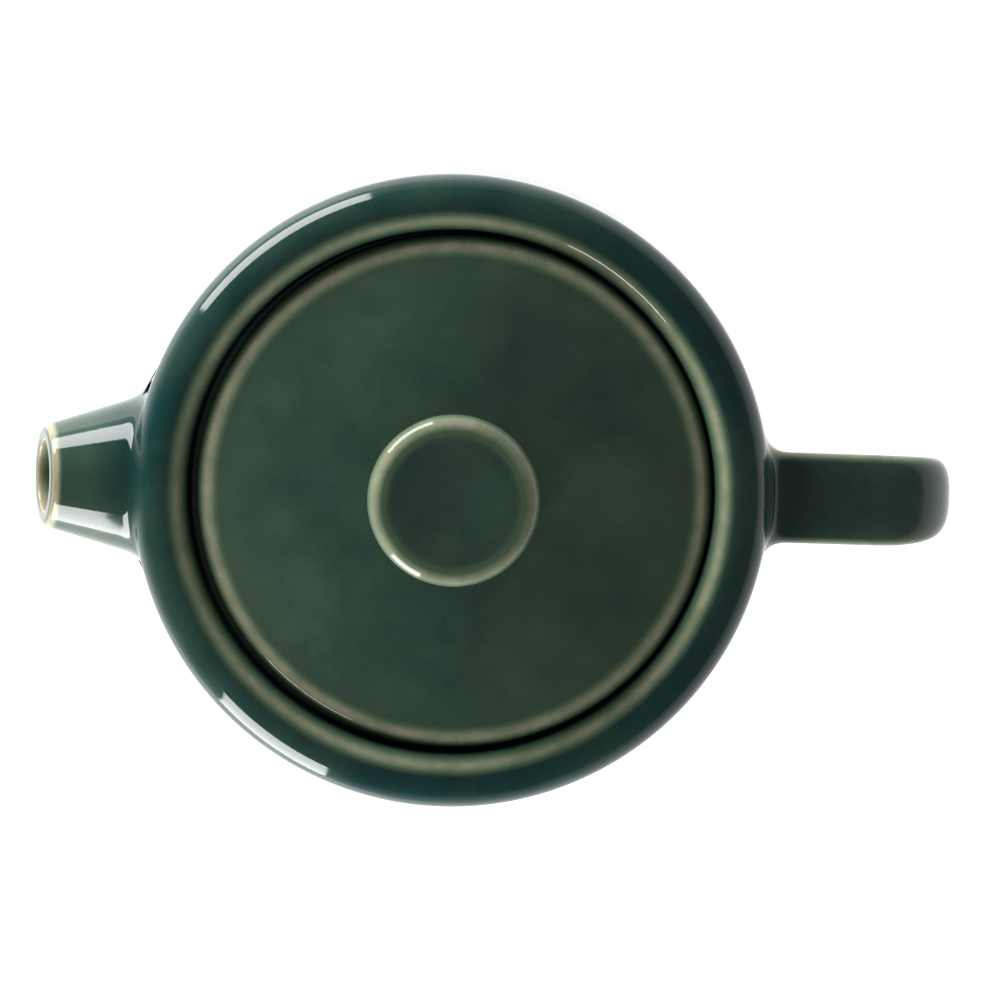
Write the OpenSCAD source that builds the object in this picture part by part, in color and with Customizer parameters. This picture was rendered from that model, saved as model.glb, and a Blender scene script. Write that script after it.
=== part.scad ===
// Glazed stoneware teapot: round body with a rolled rim, an inset lid with a knob,
// a short conical spout and a strap handle. All sizes are in millimetres.
// +Z is up, -X points to the spout and +X to the handle.
// The origin is the centre of the foot ring, on the surface that the pot stands on.

/* [Body] */
// Greatest diameter of the body, at the shoulder
body_d = 160; // [135:1:200]
// Height of the rim's crest above the table
body_h = 102; // [86:1:130]
// Thickness of the side wall
wall = 4.5; // [3.5:0.1:6]
// Thickness of the base
base_t = 6; // [4:0.5:8]
// Height where the belly's curve reaches its full diameter, below the crest
belly_drop = 24; // [20:1:30]
// How square the belly's curve is: 2 is an ellipse
belly_fullness = 2.6; // [2:0.1:4]
// Diameter of the flat floor inside
floor_d = 92; // [70:1:100]
// Height of the belly's curved ring, from the floor up to the side wall
belly_h = 23; // [16:1:30]

/* [Foot] */
// Outer diameter of the foot ring
foot_d = 104; // [80:1:115]
// Width of the foot ring's resting face
foot_w = 5; // [3:0.5:8]
// Height of the foot ring
foot_h = 4; // [2:0.5:6]
// Depth of the recess inside the foot ring
foot_recess = 3; // [1:0.5:4]

/* [Rim] */
// Radius of the shoulder's outer rounding, from the wall to the crest
shoulder_r = 7.5; // [5:0.5:9]
// Radius of the rim's inner rounding, from the crest to the mouth
lip_r = 6.4; // [4:0.1:7.5]
// Width of the ledge that carries the lid
ledge_w = 7.5; // [6:0.5:10]
// Thickness of that ledge at its inner edge
ledge_t = 4; // [3:0.5:6]
// How far the ledge's underside runs down into the wall
ledge_root = 6; // [4:0.5:10]

/* [Lid] */
// Gap all round between the lid and the mouth
lid_gap = 1.4; // [1:0.1:4]
// How far the lid's top edge lies below the rim's crest
lid_inset = 4; // [1:0.5:6]
// Height of the lid's upright edge
lid_edge_h = 8; // [6:0.5:10]
// Radius of the lid's rounded top edge
lid_edge_r = 3; // [1:0.5:4]
// Rise of the lid's dome
lid_rise = 7; // [4:0.5:12]
// Thickness of the lid's dome
lid_t = 4.5; // [3:0.5:6]
// Gap between the lid's underside and the ledge, so that the glaze doesn't grind
seat_gap = 0.1; // [0.05:0.05:0.3]

/* [Lid flange] */
// Gap between the flange and the ledge's inner edge
flange_gap = 1; // [0.5:0.1:2]
// Thickness of the flange
flange_t = 4; // [3:0.5:5]
// Depth of the flange below the lid's seat
flange_h = 9; // [6:0.5:14]

/* [Knob] */
// Diameter of the knob
knob_d = 43; // [34:1:52]
// Radius of the knob's rounded edge
knob_edge_r = 3.8; // [2.5:0.1:4.5]
// Diameter of the neck
knob_neck_d = 22; // [18:1:26]
// Diameter of the neck where it meets the lid
knob_foot_d = 28; // [24:1:32]
// Height of the fillet at the neck's foot
knob_fillet_h = 2; // [1.5:0.5:4]
// Height of the flare from the neck to the edge
knob_flare_h = 4.5; // [4:0.5:9]
// Depth of the dish in the knob's top
knob_dish = 1; // [0:0.1:2]

/* [Spout] */
// How far the centre of the spout's mouth stands out from the body
spout_reach = 23.2; // [18:0.2:30]
// How far the centre of the spout's mouth lies below the rim's crest
spout_drop = 16; // [14:0.5:20]
// Outer diameter of the spout's mouth
spout_d = 25.4; // [22:0.2:30]
// Thickness of the spout's wall
spout_wall = 4.2; // [3:0.1:5]
// Angle of the spout's axis above level
spout_tilt = 16; // [12:1:20]
// Half angle of the spout's cone
spout_taper = 16.8; // [12:0.2:20]
// Angle of the mouth's face, from upright
mouth_tilt = 14; // [8:1:22]

/* [Strainer] */
// Diameter of the pierced plug in the wall
strainer_d = 17; // [16.5:0.5:20]
// Clear wall between the plug and the joint under the rim
strainer_gap = 0.5; // [0.3:0.1:3]
// Diameter of each hole
hole_d = 2.6; // [2:0.1:2.9]
// Distance between the holes' centres
hole_pitch = 3.9; // [3.7:0.1:4.1]

/* [Handle] */
// How far the handle stands out from the body
handle_reach = 47; // [38:1:60]
// Width of the strap at its upper arm
strap_w = 23; // [18:0.5:30]
// Width of the strap at its lower arm
strap_low_w = 12; // [9:0.5:22]
// Thickness of the strap
strap_t = 9; // [7:0.5:11]
// How square the strap's outline is: 2 is an ellipse
strap_fullness = 2.8; // [2:0.1:4]
// How far the strap's top face lies below the rim's crest
handle_drop = 14; // [11:0.5:20]
// Height of the handle between the centre lines of its two arms
handle_h = 44; // [40:1:60]
// Radius of the upper bend, at the strap's centre line
upper_bend_r = 14; // [12:1:20]
// Radius of the lower bend, at the strap's centre line
lower_bend_r = 18; // [14:1:24]

/* [Hidden] */
$fn = 96;
arc_steps = 6;
curve_steps = 12;
ring_steps = 32;
glaze = "#2c4238";
deep_glaze = "#1d3a36";
light_glaze = "#5f6a50";
cut_past = 1;

body_r = body_d / 2;
rim_r = body_r - shoulder_r;
mouth_r = rim_r - lip_r;
ledge_r = mouth_r - ledge_w;
inner_r = body_r - wall;
floor_z = foot_recess + base_t;
wall_z = floor_z + belly_h;
belly_top = body_h - belly_drop;

lid_r = mouth_r - lid_gap;
lid_top = body_h - lid_inset;
lid_seat = lid_top - lid_edge_h;
ledge_z = lid_seat - seat_gap;
joint_z = ledge_z - ledge_t - ledge_root;
flange_r = ledge_r - flange_gap;
hollow_r = flange_r - flange_t;
dome_slope = atan(2 * lid_rise / (lid_r - lid_edge_r));
dome_r = lid_r - lid_edge_r * (1 - sin(dome_slope));
dome_z = lid_top - lid_edge_r * (1 - cos(dome_slope));
knob_z = dome_height(knob_foot_d / 2);

mouth_centre = [-body_r - spout_reach, 0, body_h - spout_drop];
spout_length = spout_reach + wall + ledge_w;
strainer_z = joint_z - strainer_gap - strainer_d / 2;

upper_arm_z = body_h - handle_drop - strap_t / 2;
lower_arm_z = upper_arm_z - handle_h;
grip_x = body_r + handle_reach - strap_t / 2;
arm_start = body_r / 2;

// Height of the lid's domed top at radius r
function dome_height(r) = dome_z + lid_rise * (1 - pow(r / dome_r, 2));

// Points of an elliptical arc in an outline, from one angle to another
function arc(centre, rx, rz, from, to) =
    [for (i = [0:arc_steps])
        let (a = from + (to - from) * i / arc_steps)
        centre + [rx * cos(a), rz * sin(a)]];

// Points of the belly's curve, from the flat bottom out to the upright side
function belly(flat_r, side_r, low) =
    [for (i = [0:curve_steps])
        let (a = 90 * i / curve_steps)
        [flat_r + (side_r - flat_r) * pow(sin(a), 2 / belly_fullness),
         belly_top - (belly_top - low) * pow(cos(a), 2 / belly_fullness)]];

// A list in the other order
function reversed(points) = [for (i = [len(points) - 1:-1:0]) points[i]];

// Outer face of the rim, from where the wall ends to the crest
function rim_outside() = concat(
    [[body_r, joint_z]],
    arc([rim_r, body_h - shoulder_r], shoulder_r, shoulder_r, 0, 90));

// The bowl below the rim, before it is pierced
module bowl() {
    rotate_extrude()
        polygon(concat(
            [[foot_d / 2, 0]],
            belly(foot_d / 2, body_r, foot_h),
            [[body_r, joint_z], [inner_r, joint_z]],
            reversed(belly(floor_d / 2, inner_r, floor_z)),
            [[0, floor_z], [0, foot_recess], [foot_d / 2 - foot_w, foot_recess],
             [foot_d / 2 - foot_w, 0]]));
}

// Bowl and rim as one solid lump, which cuts the spout and the handle to its outer face
module body_lump() {
    rotate_extrude()
        polygon(concat(
            [[0, 0], [foot_d / 2, 0]],
            belly(foot_d / 2, body_r, foot_h),
            rim_outside(),
            [[0, body_h]]));
}

// The round window in the wall that the strainer fills
module strainer_window() {
    translate([-body_r - cut_past, 0, strainer_z])
        rotate([0, 90, 0])
            cylinder(h = wall + ledge_w, d = strainer_d);
}

// The slice of the bowl between two heights
module bowl_slice(low, high) {
    intersection() {
        bowl();
        translate([0, 0, low])
            cylinder(h = high - low, r = body_r + cut_past);
    }
}

// The base: the foot ring and the flat floor
module base() {
    color(deep_glaze)
        bowl_slice(-cut_past, floor_z);
}

// The ring where the belly curves up from the floor
module belly_ring() {
    color(deep_glaze)
        bowl_slice(floor_z, wall_z);
}

// The side wall, with the strainer's window
module pot_body() {
    color(deep_glaze)
        difference() {
            bowl_slice(wall_z, joint_z + cut_past);
            strainer_window();
        }
}

// The rim: shoulder, crest and inner lip, then the ledge for the lid and its domed underside
module rim() {
    color(deep_glaze)
        rotate_extrude()
            polygon(concat(
                rim_outside(),
                arc([rim_r, body_h - lip_r], lip_r, lip_r, 90, 180),
                [[mouth_r, ledge_z], [ledge_r, ledge_z]],
                arc([ledge_r, joint_z], inner_r - ledge_r, ledge_root, 90, 0)));
}

// The strainer's holes: one in the middle and two rings of six round it
module strainer_holes() {
    ring_radii = [hole_pitch, hole_pitch * sqrt(3)];
    translate([-body_r - cut_past, 0, strainer_z])
        rotate([0, 90, 0]) {
            cylinder(h = wall + ledge_w, d = hole_d);
            for (ring = [0:1])
                for (i = [0:5])
                    rotate(60 * i + 30 * ring)
                        translate([ring_radii[ring], 0, 0])
                            cylinder(h = wall + ledge_w, d = hole_d);
        }
}

module strainer() {
    color(light_glaze)
        difference() {
            intersection() {
                bowl();
                strainer_window();
            }
            strainer_holes();
        }
}

// Places what stands on the mouth's centre, with +Z leaning out at an angle above level
module at_mouth(angle) {
    translate(mouth_centre)
        rotate([0, angle - 90, 0])
            children();
}

// A cone along the spout's axis, with this radius at the centre of the mouth
module spout_cone(mouth_radius) {
    slope = tan(spout_taper);
    past = spout_d / 2;
    at_mouth(spout_tilt)
        translate([0, 0, -spout_length])
            cylinder(
                h = spout_length + past,
                r1 = mouth_radius + spout_length * slope,
                r2 = mouth_radius - past * slope);
}

module spout() {
    color(glaze)
        difference() {
            spout_cone(spout_d / 2);
            spout_cone(spout_d / 2 - spout_wall);
            at_mouth(mouth_tilt)
                translate([-spout_d, -spout_d, 0])
                    cube(2 * spout_d);
            body_lump();
        }
}

// Middle line of the strap, as [x, z, way out of the bend], from its upper arm to its lower arm
function strap_path() = concat(
    [[arm_start, upper_arm_z, 90]],
    [for (i = [0:curve_steps])
        let (a = 90 - 90 * i / curve_steps)
        [grip_x - upper_bend_r * (1 - cos(a)), upper_arm_z - upper_bend_r * (1 - sin(a)), a]],
    [for (i = [0:curve_steps])
        let (a = -90 * i / curve_steps)
        [grip_x - lower_bend_r * (1 - cos(a)), lower_arm_z + lower_bend_r * (1 + sin(a)), a]],
    [[arm_start, lower_arm_z, -90]]);

// Width of the strap at a height: it tapers evenly from the upper arm to the lower
function strap_width(z) = strap_low_w + (strap_w - strap_low_w) * (z - lower_arm_z) / handle_h;

// The strap's outline round one point of its middle line
function strap_ring(at) =
    [for (i = [0:ring_steps - 1])
        let (a = 360 * i / ring_steps,
             across = sign(cos(a)) * pow(abs(cos(a)), 2 / strap_fullness) * strap_width(at[1]) / 2,
             out = sin(a) * strap_t / 2)
        [at[0] + out * cos(at[2]), across, at[1] + out * sin(at[2])]];

// The whole strap, its ends buried in the body
module strap() {
    path = strap_path();
    last = len(path) - 1;
    polyhedron(
        points = [for (at = path) for (p = strap_ring(at)) p],
        faces = concat(
            [[for (i = [0:ring_steps - 1]) i]],
            [for (row = [0:last - 1]) for (i = [0:ring_steps - 1])
                let (next = (i + 1) % ring_steps, low = row * ring_steps, high = low + ring_steps)
                [low + i, high + i, high + next, low + next]],
            [[for (i = [ring_steps - 1:-1:0]) last * ring_steps + i]]),
        convexity = 6);
}

module handle() {
    color(glaze)
        difference() {
            strap();
            body_lump();
        }
}

// The lid: an upright edge, a rounded corner, a shallow dome and a flat place for the knob
module lid() {
    knob_foot_r = knob_foot_d / 2;
    dome = [for (i = [0:curve_steps])
        let (r = dome_r + (knob_foot_r - dome_r) * i / curve_steps)
        [r, dome_height(r)]];
    underside = [for (i = [0:curve_steps])
        let (r = hollow_r * i / curve_steps)
        [r, dome_height(max(r, knob_foot_r)) - lid_t]];
    corner = [lid_r - lid_edge_r, lid_top - lid_edge_r];
    color(glaze)
        rotate_extrude()
            polygon(concat(
                [[hollow_r, lid_seat], [lid_r, lid_seat]],
                arc(corner, lid_edge_r, lid_edge_r, 0, 90 - dome_slope),
                dome,
                [[0, knob_z]],
                underside));
}

module lid_flange() {
    color(light_glaze)
        rotate_extrude()
            translate([hollow_r, lid_seat - flange_h])
                square([flange_t, flange_h]);
}

module knob() {
    neck_r = knob_neck_d / 2;
    foot_r = knob_foot_d / 2;
    edge_centre_r = knob_d / 2 - knob_edge_r;
    neck_z = knob_z + knob_fillet_h;
    edge_z = neck_z + knob_flare_h + knob_edge_r;
    dish = [for (i = [1:arc_steps])
        let (r = edge_centre_r * (1 - i / arc_steps))
        [r, edge_z + knob_edge_r - knob_dish * (1 - pow(r / edge_centre_r, 2))]];
    color(glaze)
        rotate_extrude()
            polygon(concat(
                [[0, knob_z]],
                arc([foot_r, neck_z], foot_r - neck_r, knob_fillet_h, 270, 180),
                arc([edge_centre_r, neck_z], edge_centre_r - neck_r, knob_flare_h, 180, 90),
                arc([edge_centre_r, edge_z], knob_edge_r, knob_edge_r, -90, 90),
                dish));
}

base();
belly_ring();  // belly
pot_body();
rim();
strainer();
spout();
handle();
lid();
lid_flange();
knob();
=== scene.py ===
# %% [markdown]
# # A glazed stoneware teapot
# The pot is cast and pressed from stoneware clay in a few pieces, joined with slip, glazed in one
# green glaze and fired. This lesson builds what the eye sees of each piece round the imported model,
# which stays the reference for every size and place. All lengths are in metres.

import math

import bpy
import numpy as np
from mathutils import Matrix, Vector


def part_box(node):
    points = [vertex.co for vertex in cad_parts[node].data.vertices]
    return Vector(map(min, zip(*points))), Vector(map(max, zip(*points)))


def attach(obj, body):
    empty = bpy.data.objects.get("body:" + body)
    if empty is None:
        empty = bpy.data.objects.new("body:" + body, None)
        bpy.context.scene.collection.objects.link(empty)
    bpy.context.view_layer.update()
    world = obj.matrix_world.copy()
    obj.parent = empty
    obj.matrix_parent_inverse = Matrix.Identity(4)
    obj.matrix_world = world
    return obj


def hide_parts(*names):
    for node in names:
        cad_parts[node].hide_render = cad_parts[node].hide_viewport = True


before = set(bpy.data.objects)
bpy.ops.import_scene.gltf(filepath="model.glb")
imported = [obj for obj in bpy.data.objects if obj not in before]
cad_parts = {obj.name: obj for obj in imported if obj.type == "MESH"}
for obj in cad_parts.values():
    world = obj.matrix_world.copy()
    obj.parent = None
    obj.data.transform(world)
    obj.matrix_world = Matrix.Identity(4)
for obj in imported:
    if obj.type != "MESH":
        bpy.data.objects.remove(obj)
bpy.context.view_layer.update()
MM = 0.001

# %% [markdown]
# ## Sizes taken from the model
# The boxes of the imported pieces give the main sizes, so a change of the model carries over. The
# roundings that a box can't tell, such as the rim's two radii, are named here once.

# %% Read the main sizes
low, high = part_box("rim")
BODY_R, BODY_H = high.x, high.z
SHOULDER_R, LIP_R = 7.5 * MM, 6.4 * MM
CREST_R = BODY_R - SHOULDER_R
MOUTH_R = CREST_R - LIP_R
LEDGE_R, WALL = MOUTH_R - 7.5 * MM, 4.5 * MM
JOINT_Z = low.z
FOOT_R, FOOT_W, FOOT_H, FOOT_RECESS = 52 * MM, 5 * MM, 4 * MM, 3 * MM
FLOOR_R, FLOOR_Z = 46 * MM, 9 * MM
BELLY_TOP, BELLY_FULLNESS = BODY_H - 24 * MM, 2.6
low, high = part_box("lid")
LID_R, LID_SEAT, LID_CROWN = high.x, low.z, high.z
LID_EDGE_H, LID_EDGE_R, LID_T = 8 * MM, 3 * MM, 4.5 * MM
LID_TOP = LID_SEAT + LID_EDGE_H
LEDGE_Z = LID_SEAT - 0.1 * MM
low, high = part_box("knob")
KNOB_R, KNOB_FOOT_R, KNOB_NECK_R = high.x, 14 * MM, 11 * MM
KNOB_Z = low.z
low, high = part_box("lid_flange")
FLANGE_R, FLANGE_LOW = high.x, low.z
print(f"body {2000 * BODY_R:.0f} mm across, lid {2000 * LID_R:.1f} mm, knob {2000 * KNOB_R:.0f} mm")

# %% [markdown]
# ## Turned pieces
# Bowl, rim, lid, flange and knob are all round about one axis, as thrown or jiggered clay is. A
# potter's rib sets the section, so each piece starts as a section outline of lines and arcs, and
# a small function turns it about the axis. Dense arcs matter more here than on a matt object,
# because a glossy glaze shows every facet in its highlights.
#
# A glaze runs thin on sharp edges and the pale clay shows through. Each outline point therefore
# carries a third number, how thin the glaze is there, and the mesh keeps it as an attribute. On
# the lid's dome this number also holds a painted shade, darkest round the knob.

# %% Outline helpers
def arc(centre, rx, rz, start, end, steps=10, thin=0.0):
    """Points of an elliptical arc in a section, each with the same thinness of glaze."""
    angles = np.radians(np.linspace(start, end, steps + 1))
    return [(centre[0] + rx * math.cos(a), centre[1] + rz * math.sin(a), thin) for a in angles]


def line(start, end, spacing=2 * MM, thin=0.0):
    """Points along a straight stretch of a section, without its first and last point."""
    count = max(int(math.dist(start, end) / spacing), 1)
    return [
        (start[0] + (end[0] - start[0]) * i / count, start[1] + (end[1] - start[1]) * i / count, thin)
        for i in range(1, count)
    ]


def rounded(corner, before, after, radius, thin=0.0, steps=5):
    """A corner of a section rounded off: a curve from the side before to the side after."""
    corner, before, after = (np.array(p[:2], float) for p in (corner, before, after))
    start = corner + (before - corner) / np.linalg.norm(before - corner) * radius
    end = corner + (after - corner) / np.linalg.norm(after - corner) * radius
    points = []
    for t in np.linspace(0, 1, steps + 1):
        p = (1 - t) ** 2 * start + 2 * t * (1 - t) * corner + t**2 * end
        points.append((p[0], p[1], thin))
    return points


# %% [markdown]
# ## From points to a smooth mesh
# Every piece here is a grid of rings. Blender's own smooth shading weighs faces by their corner
# angles, which tilts the normals of a wide flat face beside a small rounding. Weighing by area
# keeps the flat faces flat, as a weighted normal modifier would, so the helper does that.

# %% Mesh helpers
def unit(vectors):
    """The same directions, one long."""
    lengths = np.linalg.norm(vectors, axis=-1, keepdims=True)
    return vectors / np.where(lengths > 0, lengths, 1)


def normals_by_area(points, faces):
    """The normal of each vertex, from its faces weighed by their area."""
    points = np.asarray(points, float)
    normals = np.zeros_like(points)
    for size in {len(f) for f in faces}:
        group = np.array([f for f in faces if len(f) == size])
        first = points[group[:, 0]]
        total = np.zeros((len(group), 3))
        for i in range(1, size - 1):
            total += np.cross(points[group[:, i]] - first, points[group[:, i + 1]] - first)
        for i in range(size):
            np.add.at(normals, group[:, i], total)
    return unit(normals)


def make_piece(name, points, faces, thin, normals=None):
    """A mesh object with smooth normals and, as an attribute, the thinness of its glaze, with the painted
    shade on the lid's dome.
    """
    mesh = bpy.data.meshes.new(name)
    mesh.from_pydata([tuple(p) for p in points], [], faces)
    attribute = mesh.attributes.new("glaze_thin_and_painted_shade", "FLOAT", "POINT")
    attribute.data.foreach_set("value", np.asarray(thin, np.float32))
    if normals is None:
        normals = normals_by_area(points, faces)
    mesh.normals_split_custom_set_from_vertices([tuple(n) for n in normals])
    piece = bpy.data.objects.new(name, mesh)
    bpy.context.scene.collection.objects.link(piece)
    print(f"{name}: {len(points)} vertices, {len(faces)} faces")
    return piece


def turned(name, outline, segments=224, level_at=None):
    """
    Turns a section about the axis. A section that starts and ends on the axis closes there. The
    outermost ring at the height level_at gets a level normal, so that two pieces meet unseen.
    """
    before = [None] + outline[:-1]
    outline = [p for p, q in zip(outline, before) if q is None or math.dist(p[:2], q[:2]) > 1e-6]
    on_axis = outline[0][0] < 1e-6 and outline[-1][0] < 1e-6
    rings = outline[1:-1] if on_axis else outline
    turn = np.linspace(0, 2 * math.pi, segments, endpoint=False)
    points = [(r * math.cos(a), r * math.sin(a), z) for r, z, _ in rings for a in turn]
    thin = [t for _, _, t in rings for _ in turn]
    pairs = range(len(rings) - 1 if on_axis else len(rings))
    faces = []
    for i in pairs:
        a, b = i * segments, (i + 1) % len(rings) * segments
        faces += [(a + j, a + (j + 1) % segments, b + (j + 1) % segments, b + j) for j in range(segments)]
    if on_axis:
        last = (len(rings) - 1) * segments
        first_pole, last_pole = len(points), len(points) + 1
        points += [(0, 0, outline[0][1]), (0, 0, outline[-1][1])]
        thin += [outline[0][2], outline[-1][2]]
        faces += [(first_pole, (j + 1) % segments, j) for j in range(segments)]
        faces += [(last_pole, last + j, last + (j + 1) % segments) for j in range(segments)]
    normals = normals_by_area(points, faces)
    if level_at is not None:
        place = np.asarray(points)
        outermost = np.hypot(place[:, 0], place[:, 1]) > BODY_R - 1e-5
        ring = outermost & (np.abs(place[:, 2] - level_at) < 1e-6)
        normals[ring] = unit(place[ring] * [1, 1, 0])
    return make_piece(name, points, faces, thin, normals)


# %% [markdown]
# ## Bowl
# The bowl is the part below the rim. Its belly follows a superellipse, which is fuller than an
# ellipse at the foot and runs straight up to the shoulder. The foot ring is wiped clean of glaze
# so that it doesn't stick to the kiln shelf, so its edge counts as thin.

# %% Bowl
def belly(flat_r, side_r, low_z, steps=40):
    """Points of the belly's curve, from the flat bottom out to the upright side."""
    angles = np.radians(np.linspace(0, 90, steps + 1))
    power = 2 / BELLY_FULLNESS
    return [
        (flat_r + (side_r - flat_r) * math.sin(a) ** power,
         BELLY_TOP - (BELLY_TOP - low_z) * max(math.cos(a), 0) ** power, 0.0)
        for a in angles
    ]


foot_in = FOOT_R - FOOT_W
inner_r = BODY_R - WALL
outside = belly(FOOT_R, BODY_R, FOOT_H)
inside = belly(FLOOR_R, inner_r, FLOOR_Z)[::-1]
bowl_outline = (
    [(0, FOOT_RECESS, 0)]
    + line((0, FOOT_RECESS), (foot_in, FOOT_RECESS), 4 * MM)
    + rounded((foot_in, FOOT_RECESS), (0, FOOT_RECESS), (foot_in, 0), 1 * MM)
    + rounded((foot_in, 0), (foot_in, FOOT_RECESS), (FOOT_R, 0), 0.8 * MM, thin=1)
    + rounded((FOOT_R, 0), (foot_in, 0), (FOOT_R, FOOT_H), 0.8 * MM, thin=1)
    + outside
    + [(BODY_R, JOINT_Z, 0), (inner_r, JOINT_Z, 0)]
    + inside
    + line((FLOOR_R, FLOOR_Z), (0, FLOOR_Z), 4 * MM)
    + [(0, FLOOR_Z, 0)]
)
bowl = turned("bowl", bowl_outline, level_at=JOINT_Z)

# %% [markdown]
# ## Rim
# The rim is a thick roll: a wide shoulder outside, a crest, a tighter inner lip and the ledge that
# the lid rests on. The glaze breaks to cream along the inner lip, where it runs off into the mouth.

# %% Rim
def ring_of_thin_glaze(points, radius, width, most):
    """Thins the glaze round one radius of an outline, to most at the middle of the width."""
    return [(r, z, max(t, most * math.exp(-(((r - radius) / width) ** 2)))) for r, z, t in points]


shoulder = arc((CREST_R, BODY_H - SHOULDER_R), SHOULDER_R, SHOULDER_R, 0, 90, 28)
inner_lip = arc((CREST_R, BODY_H - LIP_R), LIP_R, LIP_R, 90, 180, 28)
inner_lip = ring_of_thin_glaze(inner_lip, MOUTH_R + 2.6 * MM, 1.8 * MM, 0.68)
ledge_low = (LEDGE_R, LEDGE_Z - 4 * MM)
rim_outline = (
    [(BODY_R, JOINT_Z, 0)]
    + line((BODY_R, JOINT_Z), (BODY_R, BODY_H - SHOULDER_R))
    + shoulder
    + inner_lip
    + rounded((MOUTH_R, LEDGE_Z), (MOUTH_R, BODY_H), (LEDGE_R, LEDGE_Z), 1 * MM)
    + rounded((LEDGE_R, LEDGE_Z), (MOUTH_R, LEDGE_Z), ledge_low, 0.8 * MM, thin=0.9)
    + rounded(ledge_low, (LEDGE_R, LEDGE_Z), (inner_r, ledge_low[1]), 0.8 * MM, thin=0.7)
    + arc((LEDGE_R, JOINT_Z), inner_r - LEDGE_R, ledge_low[1] - JOINT_Z, 84, 0, 12)
)
rim = turned("rim_roll", rim_outline, level_at=JOINT_Z)

# %% [markdown]
# ## The joined surfaces
# Spout and handle are pressed on with slip and the seam is sponged to a fillet. A mesh tool would
# bevel a boolean cut, but the cut edge here changes angle all the way round. Distance fields do it
# better: the smooth union of two distances is zero on a surface that flows from one form into the
# other, and a few Newton steps bring a rough grid of points onto it.
#
# The joined surface lies a hair above the body's own, because two faces in the same place flicker.
# Its outermost ring is sunk into the clay, so that no rim of it shows.

# %% Distance to the body and the smooth union
HAIR, SUNK = 0.03 * MM, 0.25 * MM
section = np.array([(r, z) for r, z, _ in outside + [(BODY_R, JOINT_Z, 0)] + shoulder])


def body_distance(points):
    """Signed distance from the body's outer face, positive outside."""
    at = np.stack([np.hypot(points[:, 0], points[:, 1]), points[:, 2]], axis=1)
    start, step = section[:-1], np.diff(section, axis=0)
    best, sign = np.full(len(at), np.inf), np.ones(len(at))
    for s, d in zip(start, step):
        length = d @ d
        if length < 1e-16:
            continue
        t = np.clip(((at - s) @ d) / length, 0, 1)
        gap = at - (s + t[:, None] * d)
        distance = np.linalg.norm(gap, axis=1)
        side = gap @ np.array([d[1], -d[0]])
        nearer = distance < best
        best = np.where(nearer, distance, best)
        sign = np.where(nearer, np.sign(side), sign)
    return best * np.where(sign == 0, 1, sign)


def smooth_union(a, b, fillet):
    """Distance to both forms together, with their corner filled over the width of the fillet."""
    near = np.maximum(fillet - np.abs(a - b), 0) / fillet
    return np.minimum(a, b) - near**2 * fillet / 4 - HAIR


def slope_of(field, points, step=1e-6):
    """The gradient of a distance field."""
    axes = np.eye(3) * step
    return np.stack([(field(points + e) - field(points - e)) / (2 * step) for e in axes], axis=1)


def settle(field, points, rounds=8):
    """Moves points onto the surface where the field is zero."""
    for _ in range(rounds):
        slope = slope_of(field, points)
        points = points - slope * (field(points) / np.sum(slope**2, axis=1))[:, None]
    return points


def reach(field, starts, ways, longest):
    """How far each start goes along its way before the field turns negative, by halving."""
    near, far = np.zeros(len(starts)), np.full(len(starts), longest)
    for _ in range(40):
        middle = (near + far) / 2
        outside_still = field(starts + ways * middle[:, None]) > 0
        near = np.where(outside_still, middle, near)
        far = np.where(outside_still, far, middle)
    return near


def grid_faces(rows, columns):
    """Faces of a grid whose rows are closed rings."""
    return [
        (i * columns + j, i * columns + (j + 1) % columns,
         (i + 1) * columns + (j + 1) % columns, (i + 1) * columns + j)
        for i in range(rows - 1) for j in range(columns)
    ]


near_wall = np.array([[BODY_R + 10 * MM, 0, BELLY_TOP]])
print(f"a point 10 mm outside the wall: {1000 * body_distance(near_wall)[0]:.2f} mm")

# %% [markdown]
# ## Spout
# A short hollow cone, cut nearly upright at its mouth. Each of its lines runs from the fillet on
# the body out to the mouth, round the lip in two soft corners, and back down the bore.

# %% Spout
low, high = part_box("spout")
print(f"the packed spout reaches {-1000 * low.x:.1f} mm from the axis")
SPOUT_TILT, SPOUT_TAPER, MOUTH_TILT = (math.radians(a) for a in (16, 16.8, 14))
SPOUT_R, SPOUT_WALL = 12.7 * MM, 4.2 * MM
MOUTH_CENTRE = np.array([-(BODY_R + 23.2 * MM), 0, BODY_H - 16 * MM])
SPOUT_AXIS = np.array([-math.cos(SPOUT_TILT), 0, math.sin(SPOUT_TILT)])
MOUTH_FACE = np.array([-math.cos(MOUTH_TILT), 0, math.sin(MOUTH_TILT)])
SPOUT_FILLET, TOP_FILLET = 5.5 * MM, 2.6 * MM


def spout_distance(points):
    """Signed distance from a cone along the spout's axis that ends just inside the body's wall."""
    along = (points - MOUTH_CENTRE) @ SPOUT_AXIS
    out = np.linalg.norm(points - MOUTH_CENTRE - along[:, None] * SPOUT_AXIS, axis=1)
    cone = (out - (SPOUT_R - along * math.tan(SPOUT_TAPER))) * math.cos(SPOUT_TAPER)
    return np.maximum(cone, points[:, 0] + BODY_R - 2.5 * MM)


def spout_and_body(points):
    """The fillet is tighter on top, where the spout runs into the shoulder."""
    top = np.clip((points[:, 2] - (BODY_H - 14 * MM)) / (8 * MM), 0, 1)
    fillet = SPOUT_FILLET + (TOP_FILLET - SPOUT_FILLET) * top * top * (3 - 2 * top)
    return smooth_union(spout_distance(points), body_distance(points), fillet)


around = 160
turn = np.linspace(0, 2 * math.pi, around, endpoint=False)
across, upward = np.array([0.0, 1.0, 0.0]), np.cross(SPOUT_AXIS, [0.0, 1.0, 0.0])
outward = np.cos(turn)[:, None] * across + np.sin(turn)[:, None] * upward
backward = unit(outward * math.sin(SPOUT_TAPER) - SPOUT_AXIS * math.cos(SPOUT_TAPER))


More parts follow.
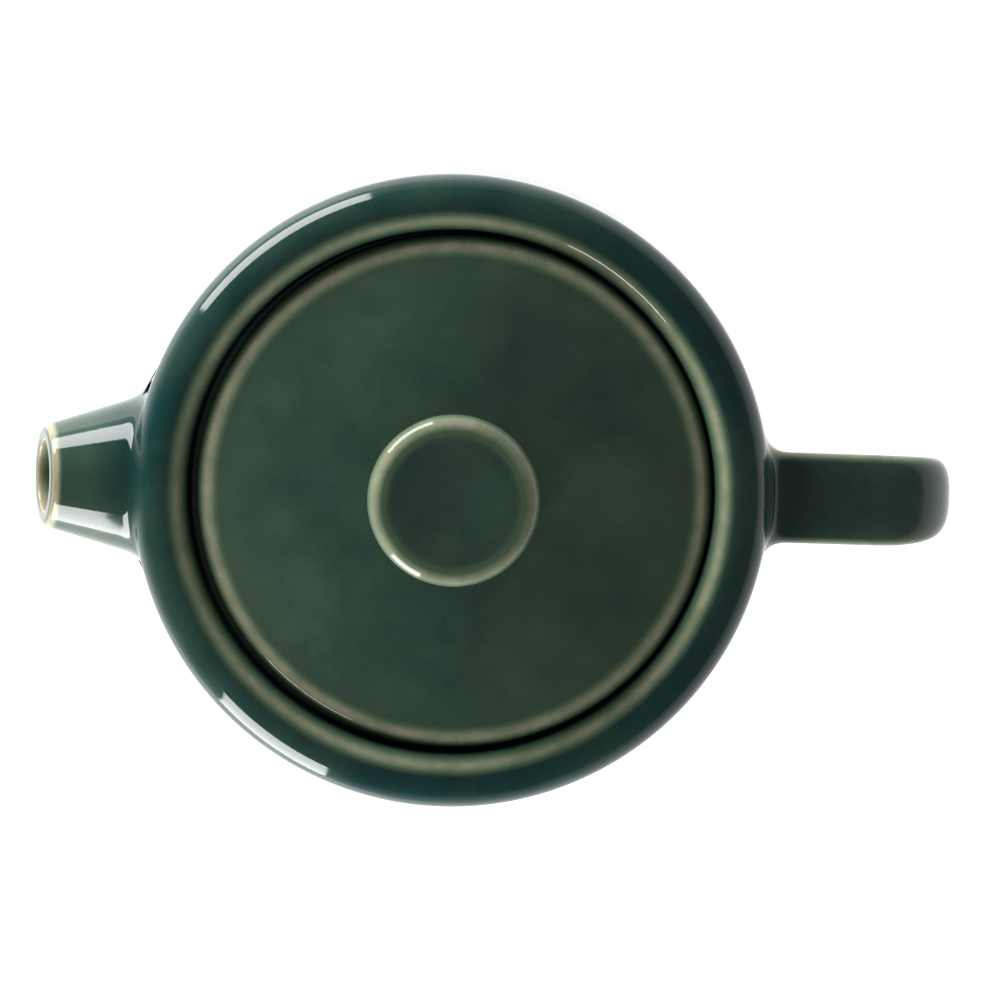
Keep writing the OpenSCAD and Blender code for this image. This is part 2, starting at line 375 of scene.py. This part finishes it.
def at_mouth(radius):
    """Where each line of a cone meets the plane of the mouth."""
    starts = MOUTH_CENTRE + outward * radius
    along = ((starts - MOUTH_CENTRE) @ MOUTH_FACE) / (backward @ MOUTH_FACE)
    return starts - backward * along[:, None]


def bend(start, corner, end, steps):
    """Rings along a soft corner."""
    return [
        (1 - t) ** 2 * start + 2 * t * (1 - t) * corner + t**2 * end
        for t in np.linspace(0, 1, steps + 1)
    ]


outer_edge, inner_edge = at_mouth(SPOUT_R), at_mouth(SPOUT_R - SPOUT_WALL)
root = reach(body_distance, outer_edge, backward, 60 * MM)
LIP_OUT, LIP_IN = 1.6 * MM, 1.4 * MM
OUTER_THIN = [0.95, 1.0, 1.0, 0.95, 0.7, 0.4, 0.2, 0.12, 0.1, 0.1]
INNER_THIN = [0.1, 0.12, 0.2, 0.45, 0.8, 1.0, 1.0, 1.0, 0.95, 0.9, 0.85]
face_way = unit(inner_edge - outer_edge)
rings, thin = [], []
for s in np.linspace(8 * MM, 0, 16)[:-1]:
    ring = outer_edge + backward * root[:, None] + outward * s
    rings.append(settle(spout_and_body, ring))
    thin.append(0.0)
for t in np.linspace(1, 0, 34) ** 1.25:
    ring = outer_edge + backward * (LIP_OUT + (root - LIP_OUT) * t)[:, None]
    rings.append(settle(spout_and_body, ring, 6))
    thin.append(0.8 * math.exp(-((t * np.mean(root) / (1.1 * MM)) ** 2)))
blended = len(rings)
rings += bend(outer_edge + backward * LIP_OUT, outer_edge, outer_edge + face_way * LIP_OUT, 10)[1:]
rings += bend(inner_edge - face_way * LIP_IN, inner_edge, inner_edge + backward * LIP_IN, 10)
thin += OUTER_THIN + INNER_THIN
bore_root = reach(body_distance, inner_edge, backward, 60 * MM) + 0.5 * MM
for t in np.linspace(0, 1, 14)[1:]:
    rings.append(inner_edge + backward * (LIP_IN + (bore_root - LIP_IN) * t)[:, None])
    thin.append(0.7 * (1 - t) ** 4)
border = rings[0] - slope_of(body_distance, rings[0]) * SUNK
rings, thin = [border] + rings, [0.0] + thin
points = np.concatenate(rings)
faces = grid_faces(len(rings), around)
last = (len(rings) - 1) * around
faces += [(last + j, last + (j + 1) % around, (j + 1) % around, j) for j in range(around)]
normals = normals_by_area(points, faces)
if np.sum(normals[30 * around] * outward[0]) < 0:
    faces = [f[::-1] for f in faces]
    normals = -normals
joined = (blended + 1) * around
normals[:joined] = unit(slope_of(spout_and_body, points[:joined]))
normals[:around] = unit(slope_of(body_distance, points[:around] + normals[:around] * MM))
spout = make_piece("spout_cone", points, faces, np.repeat(thin, around), normals)
print(f"where the spout ends, it lies {1000 * body_distance(rings[1]).max():.2f} mm above the body")

# %% [markdown]
# ## Handle
# The handle is a strap with a crowned face, bent while soft and joined at both ends. It tapers
# towards its lower arm, as a pulled handle does. Its section is a superellipse, swept along two
# level arms, two bends and a grip. The glaze runs thin along both long edges.

# %% Handle path and section
low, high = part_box("handle")
STRAP_W, STRAP_LOW_W, STRAP_T = high.y - low.y, 12 * MM, 9 * MM
GRIP_X = high.x - STRAP_T / 2
UPPER_Z, LOWER_Z = high.z - STRAP_T / 2, low.z + STRAP_T / 2
UPPER_BEND, LOWER_BEND = 14 * MM, 18 * MM
HANDLE_FILLET = 6 * MM
EDGE_POWER, FACE_POWER = 2.8, 2.0


def strap_path():
    """Middle points of the strap with the way out of its bend, from the upper arm to the lower."""
    upper = (GRIP_X - UPPER_BEND, UPPER_Z - UPPER_BEND)
    lower = (GRIP_X - LOWER_BEND, LOWER_Z + LOWER_BEND)
    path = []
    for a in np.radians(np.linspace(90, 0, 25)):
        path.append((upper[0] + UPPER_BEND * math.cos(a), upper[1] + UPPER_BEND * math.sin(a), a))
    for z in np.linspace(upper[1], lower[1], 8)[1:-1]:
        path.append((GRIP_X, z, 0.0))
    for a in np.radians(np.linspace(0, -90, 31)):
        path.append((lower[0] + LOWER_BEND * math.cos(a), lower[1] + LOWER_BEND * math.sin(a), a))
    return path


strap_around = 96
turn = np.linspace(0, 2 * math.pi, strap_around, endpoint=False)
strap_y = np.sign(np.cos(turn)) * np.abs(np.cos(turn)) ** (2 / EDGE_POWER) / 2
strap_n = STRAP_T / 2 * np.sign(np.sin(turn)) * np.abs(np.sin(turn)) ** (2 / FACE_POWER)
strap_thin = 0.75 * np.clip((np.abs(strap_y) * 2 - 0.8) / 0.2, 0, 1) ** 1.2


def strap_width(z):
    """The strap's width at a height: it tapers evenly from the upper arm to the lower."""
    return STRAP_LOW_W + (STRAP_W - STRAP_LOW_W) * (z - LOWER_Z) / (UPPER_Z - LOWER_Z)


def strap_field(arm_z):
    """Distance from a level arm of the strap, nearly true close to its surface."""
    half_w, half_t = strap_width(arm_z) / 2, STRAP_T / 2

    def field(points):
        y, n = np.abs(points[:, 1]) / half_w, np.abs(points[:, 2] - arm_z) / half_t
        value = y**EDGE_POWER + n**FACE_POWER
        slope = np.hypot(
            EDGE_POWER * y ** (EDGE_POWER - 1) / half_w, FACE_POWER * n ** (FACE_POWER - 1) / half_t
        )
        return (value - 1) / np.maximum(slope, 60)

    return field


def arm_rings(arm_z, face_up):
    """Rings of one arm, from its border on the body out to where the bend starts."""
    strap = strap_field(arm_z)

    def joined_field(points):
        return smooth_union(strap(points), body_distance(points), HANDLE_FILLET)

    end_x = GRIP_X - (UPPER_BEND if face_up > 0 else LOWER_BEND)
    width = strap_width(arm_z)
    start = np.stack([np.full(strap_around, end_x), width * strap_y, arm_z + face_up * strap_n], axis=1)
    inward = np.tile([-1.0, 0.0, 0.0], (strap_around, 1))
    length = reach(body_distance, start, inward, 80 * MM)
    away = unit(np.stack([np.zeros(strap_around), width * strap_y / 2, face_up * strap_n], axis=1))
    rings = []
    for s in np.linspace(8 * MM, 0, 14)[:-1]:
        rings.append(settle(joined_field, start + inward * length[:, None] + away * s, 10))
    for t in np.linspace(1, 0, 26) ** 1.3:
        rings.append(settle(joined_field, start + inward * (length * t)[:, None], 6))
    border = rings[0] - slope_of(body_distance, rings[0]) * SUNK
    normals = [unit(slope_of(joined_field, r)) for r in rings]
    return [border] + rings[:-1], [normals[0]] + normals[:-1]


# %% Handle
upper_rings, upper_normals = arm_rings(UPPER_Z, 1)
lower_rings, lower_normals = arm_rings(LOWER_Z, -1)
sweep = [
    np.stack([x + strap_n * math.cos(a), strap_width(z) * strap_y, z + strap_n * math.sin(a)], axis=1)
    for x, z, a in strap_path()
]
rings = upper_rings + sweep + lower_rings[::-1]
points = np.concatenate(rings)
faces = grid_faces(len(rings), strap_around)
upper_end = tuple(range(strap_around))
faces += [upper_end[::-1], tuple(len(points) - strap_around + j for j in upper_end)]
normals = normals_by_area(points, faces)
if np.sum(normals[len(upper_rings) * strap_around] * [0, strap_y[0], 0]) < 0:
    faces = [f[::-1] for f in faces]
    normals = -normals
count = len(upper_rings) * strap_around
normals[:count] = np.concatenate(upper_normals)
normals[-len(lower_rings) * strap_around:] = np.concatenate(lower_normals[::-1])
handle = make_piece("strap_handle", points, faces, np.tile(strap_thin, len(rings)), normals)

# %% [markdown]
# ## Lid
# A jiggered disc with a deep upright edge, a rounded corner and a shallow dome. The corner is
# where the glaze is thinnest, so a cream line runs round the lid.

# %% Lid
dome_slope = math.atan(2 * (LID_CROWN - LID_TOP) / LID_R)
dome_r = LID_R - LID_EDGE_R * (1 - math.sin(dome_slope))
dome_z = LID_TOP - LID_EDGE_R * (1 - math.cos(dome_slope))
dome_rise = (LID_CROWN - dome_z) / (1 - (KNOB_FOOT_R / dome_r) ** 2)


def dome_height(r):
    return dome_z + dome_rise * (1 - (r / dome_r) ** 2)


hollow_r = FLANGE_R - 4 * MM
corner = (LID_R - LID_EDGE_R, LID_TOP - LID_EDGE_R)
# The dome's third number is painted shade: lighter towards the edge and darkest round the knob, where the
# knob shades the lid.
dome = [
    (r, dome_height(r), 0.13 * min(max((r / dome_r - 0.35) / 0.6, 0), 1) ** 2)
    for r in np.linspace(dome_r, 0, 60)[1:]
]
under = [(r, dome_height(r) - LID_T, 0.0) for r in np.linspace(0, hollow_r, 24)]
edge_curve = arc(corner, LID_EDGE_R, LID_EDGE_R, 0, 90 - math.degrees(dome_slope), 16)
lid_outline = (
    under
    + [(hollow_r, LID_SEAT, 1.0)]
    + line((hollow_r, LID_SEAT), (LID_R - 0.8 * MM, LID_SEAT), 3 * MM, thin=1.0)
    + rounded((LID_R, LID_SEAT), (0, LID_SEAT), (LID_R, LID_TOP), 0.8 * MM, thin=0.8)
    + line((LID_R, LID_SEAT + 1 * MM), (LID_R, LID_TOP - LID_EDGE_R), 1 * MM, thin=0.1)
    + ring_of_thin_glaze(edge_curve, LID_R - 2.6 * MM, 1.9 * MM, 0.8)
    + ring_of_thin_glaze(dome, LID_R - 2.6 * MM, 2.2 * MM, 0.8)
)
lid = turned("lid_dome", lid_outline)

# %% [markdown]
# ## Knob
# A small mushroom, turned and joined on: a waisted neck, a flared underside, a rounded edge where
# the glaze breaks, and a slightly dished top.

# %% Knob
knob_edge_r, fillet_h, flare_h, dish = 3.8 * MM, 2 * MM, 4.5 * MM, 1 * MM
edge_r = KNOB_R - knob_edge_r
neck_z = KNOB_Z + fillet_h
edge_z = neck_z + flare_h + knob_edge_r
knob_edge = arc((edge_r, edge_z), knob_edge_r, knob_edge_r, -90, 90, 30)
dished = [
    (r, edge_z + knob_edge_r - dish * (1 - (r / edge_r) ** 2) ** 2, 0.0)
    for r in np.linspace(edge_r, 0, 26)[1:]
]
knob_outline = (
    [(0, KNOB_Z - 0.3 * MM, 0), (KNOB_FOOT_R, KNOB_Z - 0.3 * MM, 0)]
    + arc((KNOB_FOOT_R, neck_z), KNOB_FOOT_R - KNOB_NECK_R, fillet_h, 268, 180, 10)
    + arc((edge_r, neck_z), edge_r - KNOB_NECK_R, flare_h, 180, 92, 18)
    + ring_of_thin_glaze(knob_edge, KNOB_R - 1.8 * MM, 2.2 * MM, 0.68)
    + ring_of_thin_glaze(dished, KNOB_R - 1.8 * MM, 2.8 * MM, 0.68)
)
knob = turned("knob_turned", knob_outline, 160)

# %% [markdown]
# ## Flange
# The collar under the lid is left bare, as the ledge's mate, so that the two don't fuse in the
# kiln. Its lower edges are sponged round.

# %% Flange
flange_in = hollow_r
flange_outline = (
    [(flange_in, LID_SEAT, 1.0)]
    + line((flange_in, LID_SEAT), (flange_in, FLANGE_LOW), thin=1.0)
    + rounded((flange_in, FLANGE_LOW), (flange_in, LID_SEAT), (FLANGE_R, FLANGE_LOW), 1.2 * MM, thin=1.0)
    + rounded((FLANGE_R, FLANGE_LOW), (flange_in, FLANGE_LOW), (FLANGE_R, LID_SEAT), 1.2 * MM, thin=1.0)
    + line((FLANGE_R, FLANGE_LOW), (FLANGE_R, LID_SEAT), thin=1.0)
    + [(FLANGE_R, LID_SEAT, 1.0)]
)
flange = turned("flange_collar", flange_outline[::-1], 192)

# %% [markdown]
# ## The lid in its seat
# The ledge is 1 mm wider all round than the flange, so a real lid never lies quite centred. This
# one has been put down a little to the handle's side.

# %% Set the lid down off centre
for piece in (lid, knob, flange):
    piece.data.transform(Matrix.Translation((0.85 * MM, 0.1 * MM, 0)))
print("lid moved 0.85 mm to the handle's side")

# %% [markdown]
# ## Window for the strainer
# The pierced plug sits in a round window in the bowl's wall, behind the spout. The plug is the
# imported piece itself, and an exact boolean cuts its window out of the turned bowl.

# %% Cut the window
low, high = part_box("strainer")
window_r = (high.y - low.y) / 2
bpy.ops.mesh.primitive_cylinder_add(
    vertices=96, radius=window_r, depth=30 * MM, location=(-BODY_R, 0, (low.z + high.z) / 2),
    rotation=(0, math.pi / 2, 0),
)
cutter = bpy.context.object
cut = bowl.modifiers.new("window", "BOOLEAN")
cut.object, cut.operation, cut.solver = cutter, "DIFFERENCE", "EXACT"
with bpy.context.temp_override(object=bowl, active_object=bowl, selected_objects=[bowl]):
    bpy.ops.object.modifier_apply(modifier=cut.name)
bpy.data.objects.remove(cutter)
print("bowl with window:", len(bowl.data.vertices), "vertices")

# %% [markdown]
# ## Bare clay and leaf green
# Some faces carry no glaze: the foot ring, the lid's seat and side, and the ledge's inner edge,
# which would stick together in the kiln. A second attribute marks them. A third says how leaf
# green the glaze is. It lies thinner, and so greener, on the lid, the spout and the handle.

# %% Mark bare clay and leaf green
def mark(piece, name, value_at):
    """Writes one number per vertex, from a function of its x, its radius and its height."""
    mesh = piece.data
    points = np.empty(len(mesh.vertices) * 3)
    mesh.vertices.foreach_get("co", points)
    x, y, z = points.reshape(-1, 3).T
    values = np.clip(value_at(x, np.hypot(x, y), z) + 0 * x, 0, 1)
    attribute = mesh.attributes.new(name, "FLOAT", "POINT")
    attribute.data.foreach_set("value", values.astype(np.float32))


BODY_LEAF = 0.12
mark(bowl, "bare_clay", lambda x, r, z: (z < 0.5 * MM) * 1.0)
mark(rim, "bare_clay", lambda x, r, z: ((r < LEDGE_R + 4 * MM) & (z > LEDGE_Z - 0.3 * MM)) * 0.9)
bare_below = LID_TOP - 3.2 * MM
mark(lid, "bare_clay", lambda x, r, z: (r > hollow_r - 1 * MM) * (bare_below - z) / (1.5 * MM))
mark(flange, "bare_clay", lambda x, r, z: 1.0)
for piece in (spout, handle, knob):
    mark(piece, "bare_clay", lambda x, r, z: 0.0)
for piece in (bowl, rim):
    mark(piece, "glaze_leaf", lambda x, r, z: BODY_LEAF)
for piece in (spout, handle):
    mark(piece, "glaze_leaf", lambda x, r, z: (
        BODY_LEAF + 0.5 * np.clip((np.abs(x) - BODY_R - 2 * MM) / (9 * MM), 0, 1)
    ))
for piece, leaf in ((lid, 0.66), (knob, 0.5), (flange, 0.66)):
    mark(piece, "glaze_leaf", lambda x, r, z, leaf=leaf: leaf)
print("bare clay and leaf green marked on 7 pieces")

# %% [markdown]
# ## Materials
# Two finishes cover the pot. Colours are given as sRGB hex codes, as a designer would read them
# off a chart, and one function turns them into the linear values that Blender works with. A small
# helper adds nodes, so that each material reads as a list of what it is made of.

# %% Node helpers
def srgb(code):
    """A hex colour as linear RGBA."""
    parts = [int(code[i:i + 2], 16) / 255 for i in (1, 3, 5)]
    return tuple(c / 12.92 if c <= 0.04045 else ((c + 0.055) / 1.055) ** 2.4 for c in parts) + (1.0,)


def new_material(name):
    """An empty node material with its tree and its Principled shader."""
    material = bpy.data.materials.new(name)
    material.use_nodes = True
    return material, material.node_tree, material.node_tree.nodes["Principled BSDF"]


def add(tree, kind, settings=None, **inputs):
    """Adds a node. Settings are its properties, and inputs its sockets: a value or another socket."""
    node = tree.nodes.new(kind)
    for key, value in (settings or {}).items():
        setattr(node, key, value)
    for key, value in inputs.items():
        socket = node.inputs[int(key[1:])] if key[0] == "i" and key[1:].isdigit() else node.inputs[key]
        if isinstance(value, bpy.types.NodeSocket):
            tree.links.new(value, socket)
        else:
            socket.default_value = value
    return node


def noise(tree, size_mm, detail=2.0, roughness=0.5, distortion=0.0):
    """Noise in real millimetres: size_mm is about the width of one patch."""
    place = add(tree, "ShaderNodeTexCoord").outputs["Object"]
    return add(
        tree, "ShaderNodeTexNoise", Vector=place, Scale=1 / (size_mm * MM), Detail=detail,
        Roughness=roughness, Distortion=distortion,
    ).outputs["Fac"]


def remap(tree, value, low, high, to_low=0.0, to_high=1.0):
    """Maps a value from one range to another, clamped, with a smooth start and end."""
    node = add(tree, "ShaderNodeMapRange", {"interpolation_type": "SMOOTHSTEP"}, Value=value)
    for key, number in zip(("From Min", "From Max", "To Min", "To Max"), (low, high, to_low, to_high)):
        node.inputs[key].default_value = number
    return node.outputs["Result"]


def mix(tree, factor, a, b, blend="MIX"):
    """Mixes two colours."""
    node = add(tree, "ShaderNodeMix", {"data_type": "RGBA", "blend_type": blend})
    for index, value in ((0, factor), (6, a), (7, b)):
        if isinstance(value, bpy.types.NodeSocket):
            tree.links.new(value, node.inputs[index])
        else:
            node.inputs[index].default_value = value
    return node.outputs[2]


def calc(tree, operation, a, b=0.0, clamp=False):
    """One operation on two numbers."""
    settings = {"operation": operation, "use_clamp": clamp}
    return add(tree, "ShaderNodeMath", settings, i0=a, i1=b).outputs[0]


# %% [markdown]
# ## Green glaze
# A reactive glaze is glass over clay. Where it is thick it is a deep blue-green, where it is
# thinner it turns leaf green, and on an edge it breaks to cream and then to the tan of the clay.
# The glass surface stays glossy over all of these, with a faint waviness from the way it flowed.

# %% Green glaze
BARE_CLAY, BARE_CLAY_DARK = "#6d5a52", "#4c3d3a"


def green_glaze(name):
    """The glaze, from the three attributes that the pieces carry."""
    material, tree, shader = new_material(name)
    leaf = add(tree, "ShaderNodeAttribute", {"attribute_name": "glaze_leaf"}).outputs["Fac"]
    drift = remap(tree, noise(tree, 38, 3, 0.55, 0.4), 0.3, 0.7, -0.22, 0.22)
    body = mix(tree, calc(tree, "ADD", leaf, drift, clamp=True), srgb("#133a38"), srgb("#485f4d"))
    clouds = remap(tree, noise(tree, 11, 4, 0.6), 0.3, 0.7, 0.9, 1.08)
    specks = remap(tree, noise(tree, 0.7, 2), 0.35, 0.65, 0.95, 1.05)
    shade = calc(tree, "MULTIPLY", clouds, specks)
    grey = add(tree, "ShaderNodeCombineColor", i0=shade, i1=shade, i2=shade).outputs[0]
    body = mix(tree, 1.0, body, grey, "MULTIPLY")
    # The thinness attribute also carries the painted shade round the knob on the lid's dome.
    thin = add(tree, "ShaderNodeAttribute", {"attribute_name": "glaze_thin_and_painted_shade"}).outputs["Fac"]
    uneven = remap(tree, noise(tree, 7, 3, 0.6), 0.3, 0.7, 0.84, 1.08)
    thin = calc(tree, "MULTIPLY", thin, uneven, clamp=True)
    ramp_node = add(tree, "ShaderNodeValToRGB", Fac=thin)
    ramp = ramp_node.color_ramp
    for place, code in ((0.3, "#546d54"), (0.6, "#8b967a"), (0.82, "#b3af94")):
        ramp.elements.new(place).color = srgb(code)
    ramp.elements[0].color = srgb("#4b6350")
    ramp.elements[-1].color = srgb("#b39b74")
    broken = mix(tree, remap(tree, thin, 0.02, 0.3), body, ramp_node.outputs["Color"])
    bare = add(tree, "ShaderNodeAttribute", {"attribute_name": "bare_clay"}).outputs["Fac"]
    clay = mix(tree, noise(tree, 1.2, 3), srgb(BARE_CLAY_DARK), srgb(BARE_CLAY))
    tree.links.new(mix(tree, bare, broken, clay), shader.inputs["Base Color"])
    gloss = remap(tree, noise(tree, 5, 2), 0.3, 0.7, 0.05, 0.085)
    rough = add(tree, "ShaderNodeMix", {"data_type": "FLOAT"}, i0=bare, i2=gloss, i3=0.7)
    tree.links.new(rough.outputs[0], shader.inputs["Roughness"])
    shader.inputs["IOR"].default_value = 1.5
    waves = add(tree, "ShaderNodeBump", Height=noise(tree, 15, 1), Distance=0.16 * MM, Strength=0.5)
    peel = add(
        tree, "ShaderNodeBump", Height=noise(tree, 1.6, 2), Distance=0.006 * MM, Strength=0.4,
        Normal=waves.outputs[0],
    )
    tree.links.new(peel.outputs[0], shader.inputs["Normal"])
    return material


glaze = green_glaze("green_glaze")
print("glaze:", len(glaze.node_tree.nodes), "nodes")

# %% [markdown]
# ## Bare stoneware
# Unglazed stoneware is matt, a little sandy, with dark iron specks.

# %% Bare stoneware
bare_stoneware, tree, shader = new_material("bare_stoneware")
grain = mix(tree, remap(tree, noise(tree, 3, 4, 0.6), 0.3, 0.7), srgb(BARE_CLAY_DARK), srgb(BARE_CLAY))
iron = remap(tree, noise(tree, 0.9, 1), 0.66, 0.74)
tree.links.new(mix(tree, iron, grain, srgb("#33261f")), shader.inputs["Base Color"])
shader.inputs["Roughness"].default_value = 0.78
sand = add(tree, "ShaderNodeBump", Height=noise(tree, 0.5, 3), Distance=0.06 * MM, Strength=0.6)
tree.links.new(sand.outputs[0], shader.inputs["Normal"])

# %% [markdown]
# ## Finish and body of each piece
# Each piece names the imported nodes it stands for, the body it moves with and its finish.

# %% Give each piece its body and its finish
plan = [
    (bowl, ["base", "belly", "pot_body"], "pot", "green_glaze", glaze),
    (rim, ["rim"], "pot", "green_glaze", glaze),
    (spout, ["spout"], "pot", "green_glaze", glaze),
    (handle, ["handle"], "pot", "green_glaze", glaze),
    (lid, ["lid"], "cover", "green_glaze", glaze),
    (knob, ["knob"], "cover", "green_glaze", glaze),
    (flange, ["lid_flange"], "cover", "bare_stoneware", bare_stoneware),
]
for piece, nodes, body, finish, material in plan:
    piece.data.materials.clear()
    piece.data.materials.append(material)
    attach(piece, body)
    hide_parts(*nodes)
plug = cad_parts["strainer"]
plug.data.materials.clear()
plug.data.materials.append(glaze)

# %% [markdown]
# ## Stage
# A pale sheet lit from below, as on a light table, under a studio sky: bright round the horizon
# and dark overhead, so that the lid's flat faces don't mirror a bright ceiling.

# %% Floor and sky
bpy.ops.mesh.primitive_plane_add(size=12, location=(0, 0, 0))
floor = bpy.context.object
floor.name = "light_table"
paper, tree, shader = new_material("light_table_paper")
shader.inputs["Base Color"].default_value = srgb("#e8e8e6")
shader.inputs["Roughness"].default_value = 1.0
shader.inputs["Specular IOR Level"].default_value = 0.0
shader.inputs["Emission Color"].default_value = (1, 1, 1, 1)
shader.inputs["Emission Strength"].default_value = 0.84
floor.data.materials.append(paper)

world = bpy.data.worlds.new("studio")
bpy.context.scene.world = world
world.use_nodes = True
tree = world.node_tree
sky = tree.nodes["Background"]
direction = add(tree, "ShaderNodeTexCoord").outputs["Generated"]
x, y, up = add(tree, "ShaderNodeSeparateXYZ", Vector=direction).outputs
level = remap(tree, up, math.sin(math.radians(7)), math.sin(math.radians(22)), 0.6, 0.14)
sideways = add(tree, "ShaderNodeMath", {"operation": "MULTIPLY_ADD"}, i0=x, i1=0.3, i2=1.0).outputs[0]
tree.links.new(calc(tree, "MULTIPLY", level, sideways), sky.inputs["Strength"])
sky.inputs["Color"].default_value = (1, 1, 1, 1)
print("light table and studio sky")

# %% [markdown]
# ## Lights
# Two upright soft boxes stand left of the pot. Their sharp corners show in the glaze as the long
# highlights on the shoulder and the spout.

# %% Soft boxes
def softbox(name, azimuth, distance, low_z, high_z, length, radiance):
    """An upright rectangular light facing the pot's axis. Its power follows from its radiance."""
    light = bpy.data.lights.new(name, "AREA")
    light.shape, light.size, light.size_y = "RECTANGLE", length, high_z - low_z
    light.energy = radiance * math.pi * length * (high_z - low_z)
    box = bpy.data.objects.new(name, light)
    bpy.context.scene.collection.objects.link(box)
    a = math.radians(azimuth)
    box.location = (distance * math.cos(a), distance * math.sin(a), (low_z + high_z) / 2)
    inward = Vector((-math.cos(a), -math.sin(a), 0))
    box.rotation_euler = inward.to_track_quat("-Z", "Y").to_euler()
    box.visible_camera = False
    return box


# Each box: azimuth in degrees, distance, lower and upper edge, length and radiance
softbox("softbox_back_left", 129, 0.396, 0.07, 0.265, 0.297, 11.5)
softbox("softbox_front_left", 238.4, 0.415, 0.002, 0.325, 0.165, 12.5)

# %% [markdown]
# ## Camera
# A long lens almost straight above, leaning a little to the far side, and turned a little about
# its own line of sight.

# %% Camera
camera = bpy.data.objects.new("camera", bpy.data.cameras.new("camera"))
bpy.context.scene.collection.objects.link(camera)
aim, distance, picture_width = Vector((0.0103, 0.0003, 0.0945)), 1.6, 0.2472
lean, roll = math.radians(6.4), math.radians(1.8)
back = Vector((0, math.sin(lean), math.cos(lean)))
right = Vector((math.cos(roll), math.sin(roll), 0))
right = (right - back * right.dot(back)).normalized()
axes = Matrix((right, back.cross(right), back)).transposed()
camera.matrix_world = Matrix.Translation(aim + back * distance) @ axes.to_4x4()
camera.data.sensor_width = 36
camera.data.lens = camera.data.sensor_width * distance / picture_width
bpy.context.scene.camera = camera
bpy.context.scene.view_settings.view_transform = "Standard"
